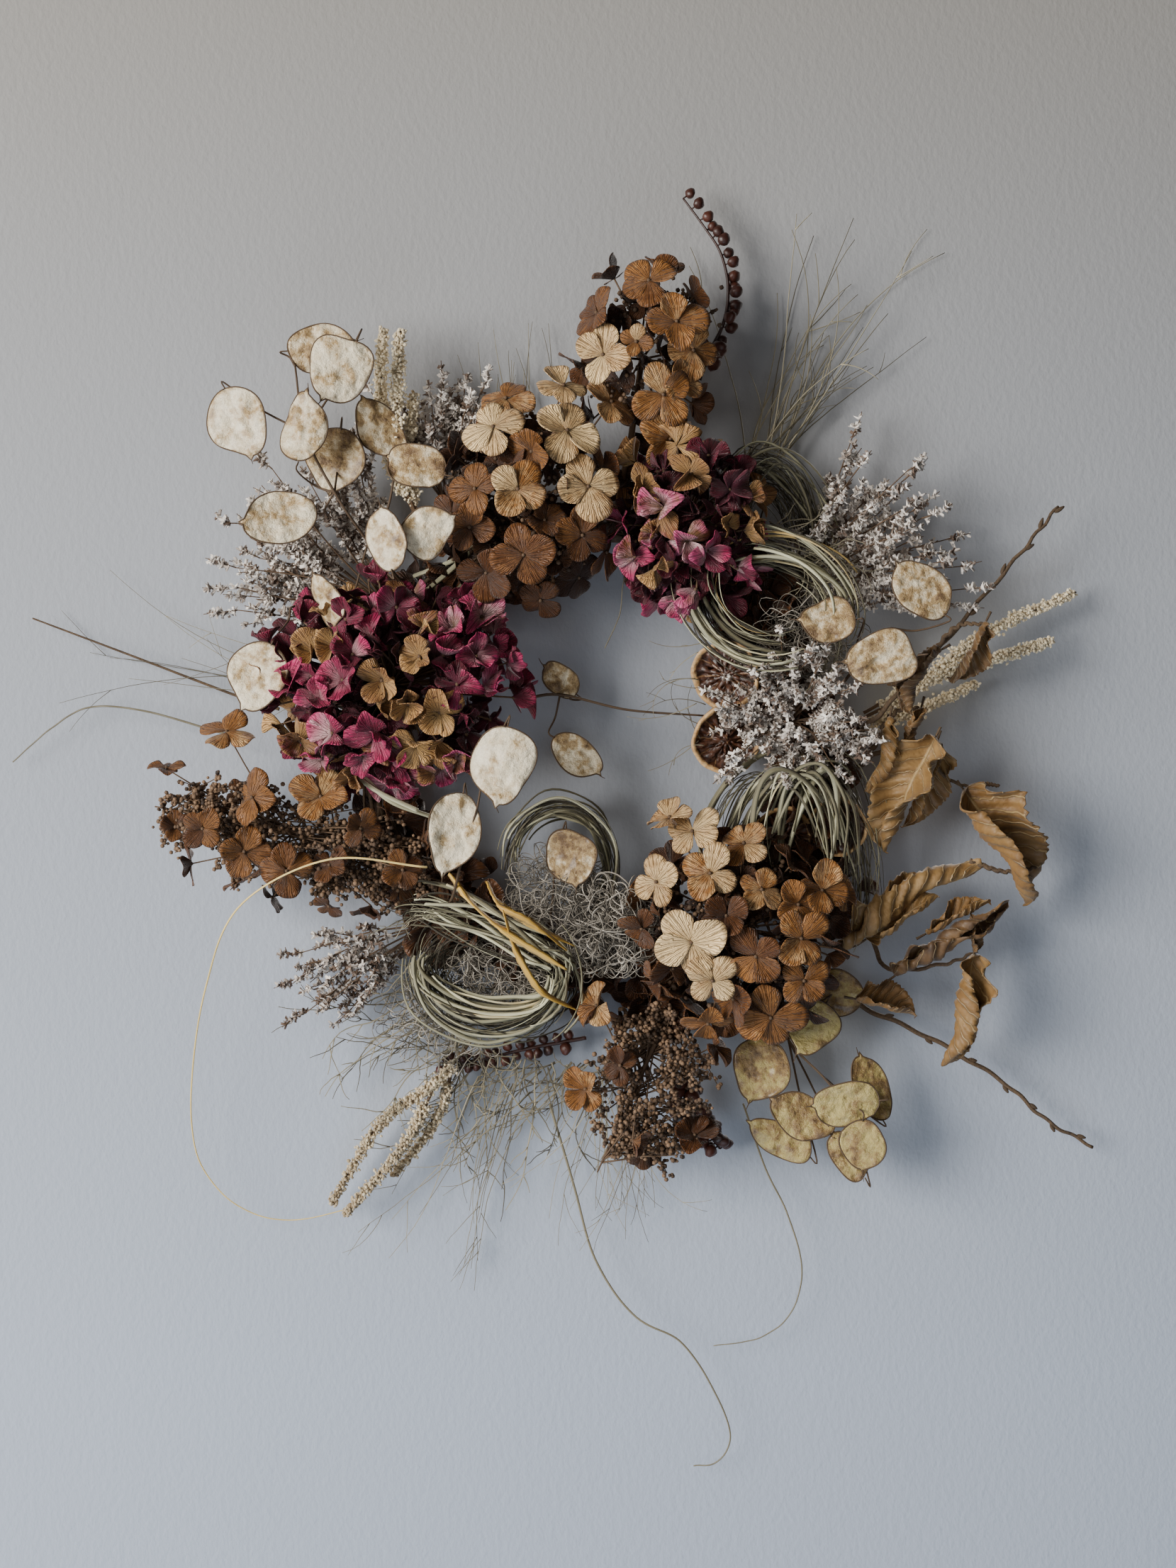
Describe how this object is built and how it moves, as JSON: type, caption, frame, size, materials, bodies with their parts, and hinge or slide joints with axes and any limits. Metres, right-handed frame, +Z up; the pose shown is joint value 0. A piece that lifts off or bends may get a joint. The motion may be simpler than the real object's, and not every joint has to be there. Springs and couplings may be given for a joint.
{
  "type": "harvest door wreath",
  "caption": "Asymmetric door wreath of dried hydrangea, honesty, grasses, statice, moss, leaves and twigs tied to a twisted vine ring, with a wire hanging loop.",
  "frame": {"origin": "inside top of the wire hanging loop, where the door's hook bears; Y = 0 is the middle plane of the vine ring", "axes": "+Z up, -Y out of the door towards the viewer, +X to the viewer's right"},
  "size_m": [0.596, 0.0939, 0.6985],
  "materials": {
    "vine_bark": "dark, ridged, matt bark",
    "reel_wire": "dull, dark annealed wire",
    "tan_petal": "dry papery sepals, veined, tan to brown",
    "burgundy_petal": "crumpled dry sepals, burgundy fading to pink and tan",
    "seed_brown": "matt dark brown seed capsules and stalks",
    "grass_blade": "dry grass blades, grey-green to straw",
    "straw": "golden flat straw, slight sheen",
    "moss_fibre": "curly pale grey fibres",
    "statice_white": "papery off-white florets with a pink tinge",
    "honesty_pod": "pearly translucent membrane with a thin dark rim",
    "green_pod": "pearly membrane, olive to pale yellow-green",
    "citrus_slice": "dried rind, with dark sunken pulp",
    "dry_leaf": "curled ochre and brown leaf with pale veins",
    "twig_bark": "matt grey-brown bark",
    "catkin": "fuzzy cream spikes",
    "seed_pod_dark": "dark red-brown round capsules, slight gloss"
  },
  "bodies": {
    "wreath": {"vine_rod_1": "vine_bark", "vine_rod_2": "vine_bark", "vine_rod_3": "vine_bark", "vine_rod_4": "vine_bark", "binding_wire_1": "reel_wire", "binding_wire_2": "reel_wire", "binding_wire_3": "reel_wire", "binding_wire_4": "reel_wire", "binding_wire_5": "reel_wire", "binding_wire_6": "reel_wire", "hydrangea_tan_top": "tan_petal", "hydrangea_tan_crown": "tan_petal", "hydrangea_burgundy_left": "burgundy_petal", "hydrangea_burgundy_right": "burgundy_petal", "hydrangea_panicle_left": "seed_brown", "hydrangea_tan_lower": "tan_petal", "hydrangea_seed_panicle": "seed_brown", "grass_coil_nest": "grass_blade", "grass_coil_arch": "grass_blade", "grass_coil_upper": "grass_blade", "grass_coil_right": "grass_blade", "grass_coil_lower": "grass_blade", "straw_ribbon": "straw", "moss_tuft": "moss_fibre", "moss_tuft_nest": "moss_fibre", "statice_left": "statice_white", "statice_crown": "statice_white", "statice_right": "statice_white", "statice_middle": "statice_white", "statice_lower_left": "statice_white", "honesty_branch_upper": "honesty_pod", "honesty_branch_left": "honesty_pod", "honesty_branch_centre": "honesty_pod", "honesty_sprig_arch": "honesty_pod", "honesty_sprig_opening": "honesty_pod", "honesty_branch_right": "honesty_pod", "honesty_branch_lower": "green_pod", "citrus_slice_1": "citrus_slice", "citrus_slice_2": "citrus_slice", "citrus_slice_3": "citrus_slice", "citrus_slice_4": "citrus_slice", "leaf_twig_upper": "dry_leaf", "leaf_twig_middle": "dry_leaf", "leaf_twig_lower": "dry_leaf", "bare_twig_lower": "twig_bark", "catkin_upper": "catkin", "catkin_lower": "catkin", "catkin_right": "catkin", "seed_spike_top": "seed_pod_dark", "seed_spike_bottom": "seed_pod_dark", "seed_spike_left": "seed_pod_dark", "grass_plume_top": "grass_blade", "grass_plume_left": "grass_blade", "grass_plume_bottom": "grass_blade", "grass_blade_1": "grass_blade", "grass_blade_2": "grass_blade", "grass_blade_3": "grass_blade", "grass_blade_4": "grass_blade", "grass_blade_5": "grass_blade"},
    "hanging_loop": {"hanger_loop": "reel_wire"}
  },
  "joints": [
    {"name": "hanger_swing", "type": "hinge", "parent": "wreath", "child": "hanging_loop", "pos_m": [0, 0, -0.0322], "axis": [1, 0, 0], "range_deg": [-100, 10]}
  ]
}
